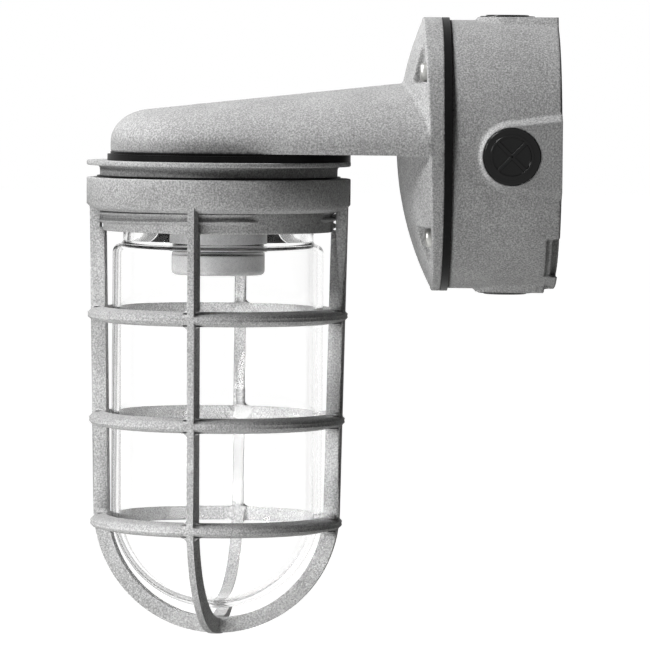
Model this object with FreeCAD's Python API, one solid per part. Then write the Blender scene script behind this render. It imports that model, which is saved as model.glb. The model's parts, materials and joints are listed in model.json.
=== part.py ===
import FreeCAD, Part
import os
from math import asin, atan2, cos, degrees, hypot, pi, radians, sin, sqrt, tan

from FreeCAD import Matrix, Vector

os.makedirs("parts", exist_ok=True)

# Millimetres. The wall is the plane y = 0 and the light stands out from it along -y.
# The arm's flat underside is z = 0 and the lamp hangs down from it along -z.
# Radii end in _r, lengths along a piece's own axis in _long, _deep or _thick.

# Clearances
turn_gap = 0.30        # between a turning piece and what it turns in
screw_gap = 0.04       # round a shank in its tapped hole
hole_gap = 0.25        # round a shank in a plain hole
seat_gap = 0.05        # round a plug or tip in its recess
screw_end_room = 1.0   # depth left under a screw's end

# Allowances that leave no mark on the finished shape
past = 1.0             # how far a cut runs past the faces it opens
sunk = 0.3             # how far a shape starts inside the one it joins
ridge_sunk = 0.6       # the same for a screw thread

# Junction box
box_r = 57.0
box_deep = 45.8
box_wall = 3.0
box_back = 3.5
box_edge_round = 0.8
hub_proud = 1.3        # the flats of the side hubs stand this far past the round wall
hub_from_wall = 21.0   # wall to the centre of a side entry
hub_flat_wall = 0.85   # flat left round a plug's head
hub_flat_spread = 2.3  # how much wider the flat is at the wall, each side
hub_skirt = 3.4        # how far the hub's sloping band spreads round the flat
hub_skirt_drop = 5.0
low_hub_short = 5.0    # the lowest hub's flat stops this far off the wall
entry_r = 9.9          # half-inch pipe thread at mid-depth
entry_wall = 3.4
side_entry_long = 13.0
rear_entry_long = 12.0
wall_screw_pcd = 64.0
wall_screw_hole_r = 2.75
foot_relief_top = -34.5   # height of the relief beside each lower foot
foot_relief_low = -51.0
foot_relief_thick = 2.8
foot_relief_bite = 5.0
foot_step_thick = 2.6
foot_step_bite = 1.6

# Closure plugs
plug_head_over = 1.95  # head past the thread
plug_head_thick = 2.5
plug_proud = 0.5
plug_thread_long = 9.0
plug_thread_round = 0.8
plug_edge_round = 0.5
plug_ring_in = 2.65    # head's edge in to the raised ring
plug_ring_wide = 1.2
plug_ring_tall = 0.5
plug_ring_round = 0.2
plug_dish_deep = 1.7
plug_bar_wide = 1.9

# Cover and its screws
rim_over = 1.1         # the rim stands this far past the box's round wall
box_gasket_thick = 3.0
box_gasket_wide = 13.6
rim_thick = 6.1        # at the cover's middle height
rim_lean = 2.2         # degrees, thicker at the top
dome_in = 1.1          # the dome's edge lies this far inside the rim
dome_rise = 12.6
cover_skin = 3.4
cover_rim_wide = 10.0  # solid rim round the cover's hollow
pocket_room_x = 5.65   # a cover screw to its pocket's inner walls
pocket_room_z = 4.65
pocket_wall = 3.0
cover_screw_in = 8.0   # box's round wall in to the circle of the cover screws
cover_screw_angle = 45.0
cover_screw_r = 2.05
cover_screw_grip = 11.0    # length held by the box
cover_boss_r = 5.6
pan_head_r = 4.0
pan_head_tall = 2.9
head_round_share = 0.55    # of a head's height
driver_share = 0.55        # of a head's radius
driver_slot_wide = 1.1
driver_slot_deep = 1.3
small_slot_wide = 0.8
small_slot_deep = 0.8
spot_face_deep = 0.25
spot_face_over = 0.9       # past the head it seats

# Arm
lamp_from_wall = 143.1
arm_nose_r = 46.1
arm_sill = 4.1         # upright part of the flank
arm_line_height = 29.8     # top line, at this distance from the wall ...
arm_line_from_wall = 66.7
arm_line_slope = 0.110     # ... falling outward by this much
arm_nose_run = 18.0
arm_nose_join = 0.125      # share of the nose's run where the top line meets it
arm_nose_last = 86.0       # degrees round the nose to the arm's last section
arm_skin = 3.2
arm_floor = 3.6
arm_least_sill = 0.5       # upright part left inside, over the floor
arm_hollow_last = 72.0
arm_hollow_out = 2.5       # the hollow starts this far in front of the rim's face
wire_hole_r = 8.0

# Head gasket
gasket_lip_thick = 1.0
head_gasket_thick = 3.7
head_gasket_proud = 1.3    # past the arm's nose
head_gasket_in = 0.1       # inside the flange's edge, on the wall side

# Lamp body
flange_thick = 2.0
flange_edge_round = 0.3
neck_tall = 4.4
neck_step = 1.5        # the neck under the flange is this much wider than the thread's root
neck_fillet = 1.6
plate_thick = 4.3
thread_root_r = 49.0
thread_tall = 2.0
thread_pitch = 3.175   # eight to the inch
thread_crest_wide = 0.35
thread_base_wide = 2.55
thread_turns = 3.75
thread_start_angle = 90.0  # its lowest crest starts on the wall side ...
thread_lead_in = 2.56      # ... this far above the skirt's end
thread_flats = (22.0, 202.0)   # degrees, where each smooth flat starts
thread_flat_angle = 38.0
skirt_long = 29.8      # top face to the skirt's end
skirt_wall = 2.5
skirt_edge_round = 0.5
body_bore_round = 1.5
seat_ring_tall = 12.5  # inner ring that holds the jar's lugs
seat_ring_wide = 4.3
seat_ring_slope = 4.0
body_screw_angles = (30.0, 150.0, 270.0)
body_screw_r = 2.4
body_screw_gap = 0.8   # its head to the globe's gasket
body_head_r = 4.6
body_screw_grip = 9.0
body_boss_r = 5.0
body_boss_tall = 12.5

# Globe
globe_gasket_thick = 2.0
globe_gasket_out = 0.9     # past the glass rim outside ...
globe_gasket_in = 1.1      # ... and inside
globe_wall = 3.0
globe_long = 139.3         # glass rim to the centre of the round end
globe_side_gap = 2.11      # round end to the guard's ribs
globe_end_gap = 4.0        # room below for its one turn
globe_shoulder_gap = 5.4   # skirt's end down to the shoulder
globe_shoulder_round = 3.6
globe_shoulder_slope = 1.2
globe_inner_shoulder = 1.8     # the inside's shoulder lies this much lower
jar_gap = 0.5              # jar thread to the seat ring
jar_thread_tall = 1.2
jar_thread_base = 2.0
jar_thread_crest = 0.9
jar_thread_turns = 2.1
jar_thread_lead_in = 2.1   # above the skirt's end
jar_lug_gap = 0.75         # a lug's tip to the jar's neck
jar_lug_tall = 0.85
jar_lug_wide = 8.0
jar_lug_angles = (0.0, 120.0, 240.0)

# Guard
collar_wall = 4.8
collar_tall = 11.1
collar_chamfer = 1.6
collar_slope_tall = 2.9
collar_edge_round = 0.6
guard_turned = -11.5   # degrees from +x to the nearest rib
rib_count = 4
rib_top_in = 0.2       # a rib's outer face starts this far inside the collar's
rib_draft = 1.1        # degrees
rib_deep = 6.5
rib_root_in = 4.0      # a rib starts this far above the collar's lower edge
rib_outer_wide = 2.8
rib_inner_wide = 5.4
guard_boss_r = 3.2     # where the ribs cross, a small boss standing proud both ways
guard_boss_proud = 0.2
rib_skirt_room = 2.5   # below the skirt's end
tooth_count = 2
ring_drops = (58.2, 102.8, 146.6)  # collar's top down to each ring
ring_proud = 0.35
ring_nose_tall = 1.6
ring_flank_deep = 1.2
ring_flank_tall = 3.9
ring_inner_tall = 6.4
ring_edge_round = 0.25
ring_groove_deep = 0.25
ring_corner_round = 2.8
ring_corner_short = 1.4    # the rounded corner stops this far inside the rib's outer face
guard_washer_wide = 2.5
guard_washer_thick = 0.8
set_screw_angle = 84.0
set_screw_drop = 7.5        # below the collar's top
set_screw_r = 2.1
set_screw_back_off = 0.15   # its tip stands this far outside the body's thread
set_screw_socket_r = 1.0
set_screw_socket_deep = 2.0
set_screw_sunk = 0.4

# Lampholder
holder_tall = 33.85
holder_seal_thick = 1.7
holder_seal_in = 1.5       # inside the holder's wall
holder_ring_in = 0.9
holder_ring_tall = 8.55
holder_end_round = 2.0
holder_edge_round = 0.6
holder_mouth_round = 0.8
holder_side_wall = 0.85    # porcelain left round its long screws
chamber_deep = 11.0
web_thick = 4.0
shell_bore_r = 13.2    # medium screw base
shell_wall = 0.5
shell_room = 2.5       # web to the shell's crown
shell_mouth_in = 1.6
shell_crown_wide = 4.0
contact_back = 7.5     # from the middle to the riveted end
contact_bend = 2.5
contact_tip = 5.0
contact_curl = 0.8
contact_wide = 6.0
contact_thick = 0.6
contact_drop = 2.8
rivet_r = 1.2
rivet_head_r = 2.2
rivet_head_tall = 0.8
rivet_from_end = 2.0
holder_screw_r = 1.6
holder_screw_head_r = 2.4
holder_screw_head_tall = 1.8
holder_screw_bite = 3.0
holder_screw_end_room = 0.5
holder_screw_sunk = 0.4    # its head lies this far inside the holder's lower face
terminal_x = 8.5
terminal_screw_r = 1.6
terminal_head_r = 3.2
terminal_head_tall = 1.8
terminal_floor = 0.8       # left under the terminal's hole
terminal_end_room = 0.4

# Leads and bonding screw
lead_r = 1.3
lead_arc_share = 0.45  # of the shorter run beside a bend
lead_spread = 4.2      # sideways from the arm's middle
lead_height = 9.5
lead_box_end = -14.0
ground_screw_x = -24.0
ground_screw_z = -20.0
ground_screw_r = 2.05
ground_screw_grip = 6.0
ground_boss_r = 5.0
ground_boss_tall = 6.0

# What follows for the box, the cover and the arm
hub_flat_out = box_r + hub_proud
plug_head_r = entry_r + plug_head_over
plug_ring_r = plug_head_r - plug_ring_in
hub_flat_r = plug_head_r + hub_flat_wall
hub_flat_half = hub_flat_r + hub_flat_spread
rim_r = box_r + rim_over
box_gasket_bore_r = rim_r - box_gasket_wide
dome_r = rim_r - dome_in
dome_ball_r = (dome_r ** 2 + dome_rise ** 2) / (2 * dome_rise)
cover_bore_r = dome_r - cover_rim_wide
cover_back = box_deep + box_gasket_thick
cover_front = cover_back + rim_thick
cover_screw_x = (box_r - cover_screw_in) * cos(radians(cover_screw_angle))
cover_screw_z = (box_r - cover_screw_in) * sin(radians(cover_screw_angle))
pocket_from_x = cover_screw_x - pocket_room_x
pocket_from_z = cover_screw_z - pocket_room_z
spot_face_r = pan_head_r + spot_face_over
ground_seat = box_back + ground_boss_tall
lamp_y = -lamp_from_wall
arm_long = lamp_from_wall - cover_front
# each flank runs from the rim's edge, touching the nose
arm_side_angle = degrees(atan2(rim_r, arm_long) - asin(arm_nose_r / hypot(rim_r, arm_long)))

# What follows for the lamp, outward from its thread
thread_crest_r = thread_root_r + thread_tall
neck_r = thread_root_r + neck_step
collar_bore_r = thread_crest_r + turn_gap
collar_r = collar_bore_r + collar_wall
flange_r = collar_r
head_gasket_r = (arm_nose_r + head_gasket_proud + flange_r - head_gasket_in) / 2
head_gasket_shift = flange_r - head_gasket_in - head_gasket_r
rib_top_r = collar_r - rib_top_in
rib_skirt_r = thread_root_r + turn_gap
body_bore_r = thread_root_r - skirt_wall
jar_bore_r = body_bore_r - seat_ring_wide
globe_neck_r = jar_bore_r - jar_gap - jar_thread_tall
body_screw_circle_r = globe_neck_r - globe_wall - globe_gasket_in - body_screw_gap - body_head_r

# What follows for the lamp, downward from the arm
head_top = -head_gasket_thick
plate_under = head_top - plate_thick
flange_under = head_top - flange_thick
neck_end = flange_under - neck_tall
skirt_end = head_top - skirt_long
seat_ring_top = skirt_end + seat_ring_tall
thread_low_crest = skirt_end + thread_lead_in
jar_thread_low = skirt_end + jar_thread_lead_in
globe_rim = plate_under - globe_gasket_thick
globe_shoulder = skirt_end - globe_shoulder_gap
globe_dome_centre = globe_rim - globe_long
collar_top = neck_end - guard_washer_thick
collar_low = collar_top - collar_tall
collar_slope_end = collar_low - collar_slope_tall
ring_heights = [collar_top - drop for drop in ring_drops]
set_screw_height = collar_top - set_screw_drop
rib_angles = [guard_turned + 360.0 / rib_count * k for k in range(rib_count)]


def rib_radius(height):
    """Radius of a rib's outer face on its straight part."""
    return rib_top_r + (height - collar_slope_end) * tan(radians(rib_draft))


globe_r = rib_radius(globe_dome_centre) - rib_deep - globe_side_gap
guard_bottom = globe_dome_centre - globe_r - globe_end_gap - guard_boss_proud - rib_deep

# What follows for the lampholder
holder_bore_r = shell_bore_r + shell_wall + seat_gap
holder_screw_x = holder_bore_r + holder_side_wall + holder_screw_head_r + hole_gap
holder_r = holder_screw_x + holder_screw_head_r + hole_gap + holder_side_wall
chamber_r = holder_screw_x - holder_screw_r - hole_gap - holder_side_wall
holder_seal_r = holder_r - holder_seal_in
holder_ring_r = holder_r - holder_ring_in
holder_seal_top = plate_under - holder_tall
holder_end = holder_seal_top - holder_seal_thick - holder_ring_tall
chamber_end = plate_under - chamber_deep
web_end = chamber_end - web_thick
shell_top = web_end - shell_room
rivet_y = contact_back - rivet_from_end
holder_screw_seat = holder_seal_top + holder_screw_head_tall + holder_screw_sunk


def rounded(corners):
    """Edges of a closed outline; a corner (u, v, r) is rounded to radius r."""
    points = [Vector(c[0], c[1], 0) for c in corners]
    count = len(points)
    arrive, leave, bend = [], [], []
    for i, corner in enumerate(corners):
        here = points[i]
        radius = corner[2] if len(corner) > 2 else 0
        if not radius:
            arrive.append(here)
            leave.append(here)
            bend.append(None)
            continue
        back = (points[i - 1] - here).normalize()
        on = (points[(i + 1) % count] - here).normalize()
        half = back.getAngle(on) / 2
        middle = (back + on).normalize()
        arrive.append(here + back * (radius / tan(half)))
        leave.append(here + on * (radius / tan(half)))
        bend.append(here + middle * (radius / sin(half) - radius))
    edges = []
    for i in range(count):
        if bend[i] is not None:
            edges.append(Part.Arc(arrive[i], bend[i], leave[i]).toShape())
        after = arrive[(i + 1) % count]
        if leave[i].distanceToPoint(after) > 1e-6:
            edges.append(Part.makeLine(leave[i], after))
    return edges


def turned(corners):
    """Solid of revolution about z from an outline of (radius, height) corners."""
    wire = Part.Wire(rounded(corners))
    wire.rotate(Vector(0, 0, 0), Vector(1, 0, 0), 90)
    return Part.Face(wire).revolve(Vector(0, 0, 0), Vector(0, 0, 1), 360)


def prism(corners, height, base):
    """Outline of (x, y) corners raised along z."""
    face = Part.Face(Part.Wire(rounded(corners)))
    face.translate(Vector(0, 0, base))
    return face.extrude(Vector(0, 0, height))


def disc(radius, low, high, x=0.0, y=0.0):
    return Part.makeCylinder(radius, high - low, Vector(x, y, low))


def ring(outer, inner, low, high, x=0.0, y=0.0):
    return disc(outer, low, high, x, y).cut(disc(inner, low - past, high + past, x, y))


def block(x, y, z):
    """Box from three (low, high) pairs."""
    return Part.makeBox(x[1] - x[0], y[1] - y[0], z[1] - z[0], Vector(x[0], y[0], z[0]))


def polar(radius, angle):
    return radius * cos(radians(angle)), radius * sin(radians(angle))


def spun(shape, angle):
    copy = shape.copy()
    copy.rotate(Vector(0, 0, 0), Vector(0, 0, 1), angle)
    return copy


def moved(shape, x=0.0, y=0.0, z=0.0):
    copy = shape.copy()
    copy.translate(Vector(x, y, z))
    return copy


def on_lamp(shape):
    """From the lamp's own axis to its place."""
    return moved(shape, 0, lamp_y, 0)


def on_wall(shape):
    """From (sideways, up, out from the wall) to its place."""
    copy = shape.copy()
    copy.rotate(Vector(0, 0, 0), Vector(1, 0, 0), 90)
    return copy


def joined(shapes):
    shapes = list(shapes)
    return shapes[0].multiFuse(shapes[1:]).removeSplitter() if len(shapes) > 1 else shapes[0]


def helix_ridge(root_r, crest_r, base_wide, crest_wide, turns):
    """Right-handed screw ridge about z. Its lowest crest starts at z = 0, on +x."""
    helix = Part.makeHelix(thread_pitch, turns * thread_pitch, root_r)
    half = base_wide / 2
    foot = root_r - ridge_sunk
    corners = [(foot, -half), (root_r, -half), (crest_r, -crest_wide / 2),
               (crest_r, crest_wide / 2), (root_r, half), (foot, half)]
    section = Part.Wire(rounded(corners))
    section.rotate(Vector(0, 0, 0), Vector(1, 0, 0), 90)
    return Part.Wire(helix).makePipeShell([section], True, True)


# ---------------------------------------------------------------- junction box

def hub_outline(reach, half, from_wall):
    """Round nose over the entry, with edges that spread to the wall."""
    nose = Part.Arc(Vector(0, reach, hub_from_wall), Vector(0, 0, hub_from_wall + reach),
                    Vector(0, -reach, hub_from_wall)).toShape()
    wall_left = Vector(0, -half, from_wall)
    wall_right = Vector(0, half, from_wall)
    return Part.Wire([nose, Part.makeLine(Vector(0, -reach, hub_from_wall), wall_left),
                      Part.makeLine(wall_left, wall_right),
                      Part.makeLine(wall_right, Vector(0, reach, hub_from_wall))])


def side_hub(from_wall):
    """One side hub on +x, its flat face outward."""
    foot = hub_outline(hub_flat_r + hub_skirt, hub_flat_half + hub_skirt, from_wall)
    foot.translate(Vector(hub_flat_out - hub_skirt_drop, 0, 0))
    flat = hub_outline(hub_flat_r, hub_flat_half, from_wall)
    flat.translate(Vector(hub_flat_out, 0, 0))
    return Part.makeLoft([foot, flat], True, True)


def radial_rod(radius, inner, outer, height):
    return Part.makeCylinder(radius, outer - inner, Vector(inner, 0, height), Vector(1, 0, 0))


def foot_reliefs():
    """Step and slot beside the lower foot, on both sides."""
    cuts = []
    high = foot_relief_top - foot_relief_low
    for side in (1, -1):
        x = (0, box_r + past) if side > 0 else (-box_r - past, 0)
        y = (foot_relief_low, foot_relief_low + high)
        slot = block(x, y, (-past, foot_relief_thick))
        cuts.append(slot.cut(disc(box_r - foot_relief_bite, -2 * past, box_deep)))
        step = block(x, y, (-past, foot_relief_thick + foot_step_thick))
        cuts.append(step.cut(disc(box_r - foot_step_bite, -2 * past, box_deep)))
    return cuts


def make_junction_box():
    body = turned([(0, 0), (box_r, 0, box_edge_round), (box_r, box_deep, box_edge_round / 2), (0, box_deep)])
    hubs = [spun(side_hub(low_hub_short if angle == 270 else 0), angle) for angle in (0, 90, 180, 270)]
    body = joined([body] + hubs)
    body = body.cut(disc(box_r - box_wall, box_back, box_deep + past))
    rim = disc(box_r - box_wall / 2, 0, box_deep)
    bosses = [spun(radial_rod(entry_r + entry_wall, hub_flat_out - side_entry_long,
                              hub_flat_out - hub_skirt_drop, hub_from_wall), angle)
              for angle in (0, 90, 180, 270)]
    bosses += [disc(cover_boss_r, 0, box_deep, x, y).common(rim) for x, y in cover_screw_spots()]
    bosses.append(disc(entry_r + entry_wall, 0, rear_entry_long))
    bosses.append(disc(ground_boss_r, 0, ground_seat, ground_screw_x, ground_screw_z))
    body = joined([body] + bosses)
    recess_floor = hub_flat_out - (plug_head_thick - plug_proud)
    for angle in (0, 90, 180, 270):
        entry = radial_rod(entry_r, hub_flat_out - side_entry_long - past, hub_flat_out + past, hub_from_wall)
        recess = radial_rod(plug_head_r + seat_gap, recess_floor, hub_flat_out + past, hub_from_wall)
        body = body.cut(spun(entry.fuse(recess), angle))
    body = body.cut(disc(entry_r, -past, rear_entry_long + past))
    for angle in (0, 90, 180, 270):
        x, y = polar(wall_screw_pcd / 2, angle)
        body = body.cut(disc(wall_screw_hole_r, -past, box_back + past, x, y))
    for x, y in cover_screw_spots():
        body = body.cut(disc(cover_screw_r + screw_gap, box_deep - cover_screw_grip - screw_end_room,
                             box_deep + past, x, y))
    body = body.cut(disc(ground_screw_r + screw_gap, ground_seat - ground_screw_grip - screw_end_room,
                         ground_seat + past, ground_screw_x, ground_screw_z))
    for cut in foot_reliefs():
        body = body.cut(cut)
    return on_wall(body)


def closure_plug(angle):
    """Threaded plug: round head, raised ring, and a crossed recess inside it."""
    floor = hub_flat_out - (plug_head_thick - plug_proud)
    top = floor + plug_head_thick
    dish_r = plug_ring_r - plug_ring_wide
    thread_r = entry_r - seat_gap
    body = turned([(0, floor - plug_thread_long), (thread_r, floor - plug_thread_long, plug_thread_round),
                   (thread_r, floor), (plug_head_r, floor), (plug_head_r, top, plug_edge_round),
                   (plug_ring_r, top), (plug_ring_r, top + plug_ring_tall, plug_ring_round),
                   (dish_r, top + plug_ring_tall, plug_ring_round), (dish_r, top - plug_dish_deep),
                   (0, top - plug_dish_deep)])
    half = plug_bar_wide / 2
    reach = dish_r + sunk
    bar = block((-reach, reach), (-half, half), (top - plug_dish_deep - sunk, top))
    body = joined([body, spun(bar, 45), spun(bar, -45)])
    body.rotate(Vector(0, 0, 0), Vector(0, 1, 0), 90)
    body.translate(Vector(0, 0, hub_from_wall))
    return on_wall(spun(body, angle))


# ---------------------------------------------------------------- cover and arm

def cover_screw_spots():
    return [(x, y) for x in (cover_screw_x, -cover_screw_x) for y in (cover_screw_z, -cover_screw_z)]


def cover_face(height):
    """Distance of the leaning rim face from the wall at a height."""
    return cover_front + height * tan(radians(rim_lean))


def lean(shape):
    """From the rim face's own plane (z = 0) to the cover."""
    copy = shape.copy()
    copy.rotate(Vector(0, 0, 0), Vector(1, 0, 0), rim_lean)
    copy.translate(Vector(0, 0, cover_front))
    return copy


def make_box_gasket():
    body = ring(rim_r, box_gasket_bore_r, box_deep, cover_back)
    for x, y in cover_screw_spots():
        body = body.cut(disc(cover_screw_r + hole_gap, box_deep - past, cover_back + past, x, y))
    return on_wall(body)


def pockets(grow, low):
    """The four corner pockets, open outward; grow widens them by a wall."""
    far = rim_r + past
    cuts = []
    for x in ((pocket_from_x - grow, far), (-far, grow - pocket_from_x)):
        for y in ((pocket_from_z - grow, far), (-far, grow - pocket_from_z)):
            cuts.append(block(x, y, (low, dome_rise + past)))
    return cuts


def dome_cap(radius, rim, low):
    ball = Part.makeSphere(radius, Vector(0, 0, dome_rise - dome_ball_r))
    return ball.common(disc(rim, low, dome_rise + past))


def cover_solid():
    rim = disc(rim_r, cover_back, cover_face(rim_r) + past)
    side = 2 * rim_r
    in_front = lean(block((-side, side), (-side, side), (0, side)))
    rim = rim.cut(in_front)
    dome = dome_cap(dome_ball_r, dome_r, -past)
    for cut in pockets(0, 0):
        dome = dome.cut(cut)
    return joined([rim, lean(dome)])


def cover_hollow():
    low = -2 * rim_thick
    hollow = dome_cap(dome_ball_r - cover_skin, cover_bore_r, low)
    for cut in pockets(pocket_wall, low - past):
        hollow = hollow.cut(cut)
    return lean(hollow)


def arm_half_width(y):
    """Half width of the arm on its straight, widening flanks."""
    angle = radians(arm_side_angle)
    touch_y = lamp_y - arm_nose_r * sin(angle)
    return arm_nose_r * cos(angle) + (y - touch_y) * tan(angle)


def arm_top(y):
    """Height of the arm's top line: a slope, then the nose's quarter ellipse."""
    run = arm_nose_run
    centre = lamp_y - arm_nose_r + run
    join_y = centre - arm_nose_join * run
    line = arm_line_height + (max(y, join_y) + arm_line_from_wall) * arm_line_slope
    if y >= join_y:
        return line
    rise = (line - arm_sill) / sqrt(1 - arm_nose_join ** 2)
    share = (centre - y) / run
    return arm_sill + rise * sqrt(max(0.0, 1 - share ** 2))


def arm_section(y, half_width, top, base):
    """Flat foot, upright sill and a half ellipse over it."""
    sill = max(arm_sill, base + arm_least_sill)
    arc = Part.Arc(Vector(1, 0, 0), Vector(0, 0, 1), Vector(-1, 0, 0)).toShape()
    scale = Matrix()
    scale.scale(half_width, 1, top - sill)
    arc = arc.transformGeometry(scale)
    arc.translate(Vector(0, y, sill))
    low_right = Vector(half_width, y, base)
    low_left = Vector(-half_width, y, base)
    return Part.Wire([Part.makeLine(low_right, Vector(half_width, y, sill)), arc,
                      Part.makeLine(Vector(-half_width, y, sill), low_left),
                      Part.makeLine(low_left, low_right)])


def nose_stations(last_angle):
    """(y, half width) round the nose, in even steps of angle."""
    steps = 10
    stations = []
    for k in range(steps + 1):
        angle = radians(arm_side_angle + (last_angle - arm_side_angle) * k / steps)
        stations.append((lamp_y - arm_nose_r * sin(angle), arm_nose_r * cos(angle)))
    return stations


def arm_shape(root_y, last_angle, skin, base):
    """Straight flanks from the root to the nose, and the nose, a skin inside the outside."""
    shrink = (arm_nose_r - skin) / arm_nose_r
    nose = [arm_section(lamp_y + (y - lamp_y) * shrink, half - skin, arm_top(y) - skin, base)
            for y, half in nose_stations(last_angle)]
    root = arm_section(root_y, arm_half_width(root_y) - skin, arm_top(root_y) - skin, base)
    return Part.makeLoft([root, nose[0]], True, True).fuse(Part.makeLoft(nose, True, False))


def body_screw_spots():
    return [polar(body_screw_circle_r, angle) for angle in body_screw_angles]


def make_wall_bracket():
    body = on_wall(cover_solid()).fuse(arm_shape(sunk - cover_front, arm_nose_last, 0, 0))
    body = body.cut(on_wall(cover_hollow()))
    body = body.cut(arm_shape(-cover_front - arm_hollow_out, arm_hollow_last, arm_skin, arm_floor))
    bosses = [disc(body_boss_r, 0, body_boss_tall, x, lamp_y + y) for x, y in body_screw_spots()]
    body = joined([body] + bosses)
    body = body.cut(disc(wire_hole_r, -past, arm_floor + past, 0, lamp_y))
    tapped_deep = body_screw_grip + screw_end_room
    for x, y in body_screw_spots():
        body = body.cut(disc(body_screw_r + screw_gap, -past, tapped_deep, x, lamp_y + y))
    high = cover_face(rim_r) + dome_rise
    for x, y in cover_screw_spots():
        hole = disc(cover_screw_r + hole_gap, cover_back - past, high, x, y)
        face = disc(spot_face_r, cover_face(y) - spot_face_deep, high, x, y)
        body = body.cut(on_wall(hole.fuse(face)))
    return body.removeSplitter()


def pan_head(radius, tall, slot_wide, slot_deep):
    """Pan head seated at z = 0, with a cross recess on top."""
    head = turned([(0, 0), (radius, 0), (radius, tall, tall * head_round_share), (0, tall)])
    half = slot_wide / 2
    reach = radius * driver_share
    for x, y in ((reach, half), (half, reach)):
        head = head.cut(block((-x, x), (-y, y), (tall - slot_deep, tall + past)))
    return head


def make_cover_screws():
    screws = []
    for x, y in cover_screw_spots():
        seat = cover_face(y) - spot_face_deep
        shank = disc(cover_screw_r, box_deep - cover_screw_grip, seat + sunk, x, y)
        head = moved(pan_head(pan_head_r, pan_head_tall, driver_slot_wide, driver_slot_deep), x, y, seat)
        screws.append(on_wall(shank.fuse(head)))
    return Part.makeCompound(screws)


# ---------------------------------------------------------------- lamp body

def arm_plan(low, high):
    """The arm's outline seen from below, as a slab."""
    angle = radians(arm_side_angle)
    touch_x = arm_nose_r * cos(angle)
    touch_y = lamp_y - arm_nose_r * sin(angle)
    root_y = lamp_y + head_gasket_shift + head_gasket_r + past
    root_x = arm_half_width(root_y)
    nose = Part.Arc(Vector(touch_x, touch_y, low), Vector(0, lamp_y - arm_nose_r, low),
                    Vector(-touch_x, touch_y, low)).toShape()
    wire = Part.Wire([nose, Part.makeLine(Vector(-touch_x, touch_y, low), Vector(-root_x, root_y, low)),
                      Part.makeLine(Vector(-root_x, root_y, low), Vector(root_x, root_y, low)),
                      Part.makeLine(Vector(root_x, root_y, low), Vector(touch_x, touch_y, low))])
    return Part.Face(wire).extrude(Vector(0, 0, high - low))


def make_head_gasket():
    centre_y = lamp_y + head_gasket_shift
    layer = disc(head_gasket_r, -head_gasket_thick, -gasket_lip_thick, 0, centre_y)
    lip = disc(head_gasket_r, -gasket_lip_thick, 0, 0, centre_y).common(arm_plan(-gasket_lip_thick, 0))
    body = layer.fuse(lip)
    low = head_top - past
    body = body.cut(disc(wire_hole_r, low, past, 0, lamp_y))
    for x, y in body_screw_spots():
        body = body.cut(disc(body_screw_r + hole_gap, low, past, x, lamp_y + y))
    return body.removeSplitter()


def thread_crest_at(angle):
    """Height of the body thread's lowest crest at an angle."""
    return thread_low_crest + thread_pitch * ((angle - thread_start_angle) % 360.0 / 360.0)


def body_thread():
    """Male screw thread, broken by two smooth flats where the mould parts."""
    ridge = helix_ridge(thread_root_r, thread_crest_r, thread_base_wide, thread_crest_wide, thread_turns)
    ridge = moved(spun(ridge, thread_start_angle), z=thread_low_crest)
    reach = 2 * thread_crest_r
    low = skirt_end - past
    for start in thread_flats:
        near = polar(reach, start)
        far = polar(reach, start + thread_flat_angle)
        ridge = ridge.cut(prism([(0, 0), near, far], head_top - low, low))
    return ridge


def make_lamp_body():
    body = turned([(0, head_top), (flange_r, head_top, flange_edge_round),
                   (flange_r, flange_under, flange_edge_round), (neck_r, flange_under, neck_fillet),
                   (neck_r, neck_end), (thread_root_r, neck_end),
                   (thread_root_r, skirt_end, skirt_edge_round), (jar_bore_r, skirt_end, skirt_edge_round),
                   (jar_bore_r, seat_ring_top - seat_ring_slope), (body_bore_r, seat_ring_top),
                   (body_bore_r, plate_under, body_bore_round), (0, plate_under)])
    lugs = []
    for angle in jar_lug_angles:
        height = jar_thread_at(angle) - thread_pitch / 2
        lug = block((globe_neck_r + jar_lug_gap, jar_bore_r + past), (-jar_lug_wide / 2, jar_lug_wide / 2),
                    (height - jar_lug_tall / 2, height + jar_lug_tall / 2))
        lugs.append(spun(lug, angle))
    body = body.multiFuse([body_thread()] + lugs)
    low = plate_under - past
    body = body.cut(disc(wire_hole_r, low, head_top + past))
    for x, y in body_screw_spots():
        body = body.cut(disc(body_screw_r + hole_gap, low, head_top + past, x, y))
    for x in (holder_screw_x, -holder_screw_x):
        body = body.cut(disc(holder_screw_r + screw_gap, low, plate_under + holder_screw_bite, x, 0))
    return on_lamp(body)


def make_body_screws():
    screws = []
    for x, y in body_screw_spots():
        head = pan_head(body_head_r, pan_head_tall, driver_slot_wide, driver_slot_deep)
        head.rotate(Vector(0, 0, 0), Vector(1, 0, 0), 180)
        shank = disc(body_screw_r, -sunk, body_screw_grip - plate_under)
        screws.append(on_lamp(moved(head.fuse(shank), x, y, plate_under)))
    return Part.makeCompound(screws)


# ---------------------------------------------------------------- globe

def jar_thread_at(angle):
    """Height of the jar thread's second-lowest pass at an angle."""
    return jar_thread_low + thread_pitch * (1 + angle / 360.0)


def make_globe_gasket():
    inner = globe_neck_r - globe_wall - globe_gasket_in
    return on_lamp(ring(globe_neck_r + globe_gasket_out, inner, globe_rim, plate_under))


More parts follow.
